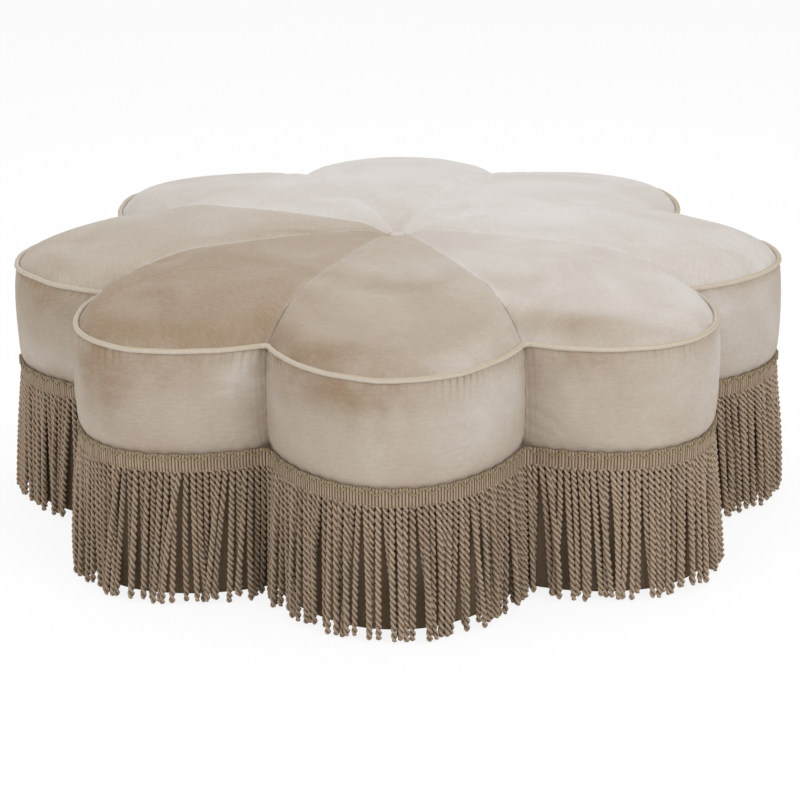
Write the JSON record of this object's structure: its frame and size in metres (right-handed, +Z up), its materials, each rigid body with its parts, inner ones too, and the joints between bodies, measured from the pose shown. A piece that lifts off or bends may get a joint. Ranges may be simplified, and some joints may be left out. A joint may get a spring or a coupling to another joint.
{
  "type": "pouf",
  "caption": "Flower-shaped upholstered pouf: crowned velvet petals sewn to a centre button, welted edge, padded sides and twisted bullion fringe over a cloth-covered plinth.",
  "frame": {"origin": "middle of the footprint, on the floor under the glides", "axes": "+Z up, -Y towards the front lobe, +X to the right seen from the front"},
  "size_m": [1.2082, 1.2082, 0.431],
  "materials": {
    "velvet": "cut velvet, nap brushed so that each panel reads as a slightly different tone",
    "welt": "pale woven cloth over cord",
    "fringe": "twisted matt yarn",
    "plinth_cloth": "plain taupe cloth",
    "cambric": "thin black dust cloth",
    "foam": "open-cell upholstery foam",
    "wadding": "polyester wadding",
    "plywood": "raw plywood",
    "softwood": "planed softwood",
    "nylon": "moulded nylon",
    "twine": "waxed tufting twine",
    "steel": "zinc plated"
  },
  "bodies": {
    "root": {"base_board": "plywood", "base_screws": "steel", "boxing_wadding": "wadding", "bullion_fringe_1": "fringe", "bullion_fringe_2": "fringe", "bullion_fringe_3": "fringe", "bullion_fringe_4": "fringe", "bullion_fringe_5": "fringe", "bullion_fringe_6": "fringe", "bullion_fringe_7": "fringe", "bullion_fringe_8": "fringe", "cross_rail_a": "softwood", "cross_rail_b": "softwood", "crown_foam": "foam", "deck_board": "plywood", "deck_screws": "steel", "dust_cover": "cambric", "foam_slab": "foam", "glide_nails": "steel", "glides": "nylon", "plinth_cover": "plinth_cloth", "plinth_panel_1": "plywood", "plinth_panel_2": "plywood", "plinth_panel_3": "plywood", "plinth_panel_4": "plywood", "plinth_panel_5": "plywood", "plinth_panel_6": "plywood", "plinth_panel_7": "plywood", "plinth_panel_8": "plywood", "stud_1": "softwood", "stud_2": "softwood", "stud_3": "softwood", "stud_4": "softwood", "stud_5": "softwood", "stud_6": "softwood", "stud_7": "softwood", "stud_8": "softwood", "tuft_button": "velvet", "tuft_toggle": "nylon", "tuft_twine": "twine", "velvet_boxing_1": "velvet", "velvet_boxing_2": "velvet", "velvet_boxing_3": "velvet", "velvet_boxing_4": "velvet", "velvet_boxing_5": "velvet", "velvet_boxing_6": "velvet", "velvet_boxing_7": "velvet", "velvet_boxing_8": "velvet", "velvet_petal_1": "velvet", "velvet_petal_2": "velvet", "velvet_petal_3": "velvet", "velvet_petal_4": "velvet", "velvet_petal_5": "velvet", "velvet_petal_6": "velvet", "velvet_petal_7": "velvet", "velvet_petal_8": "velvet", "welt_cord": "welt"}
  },
  "joints": []
}
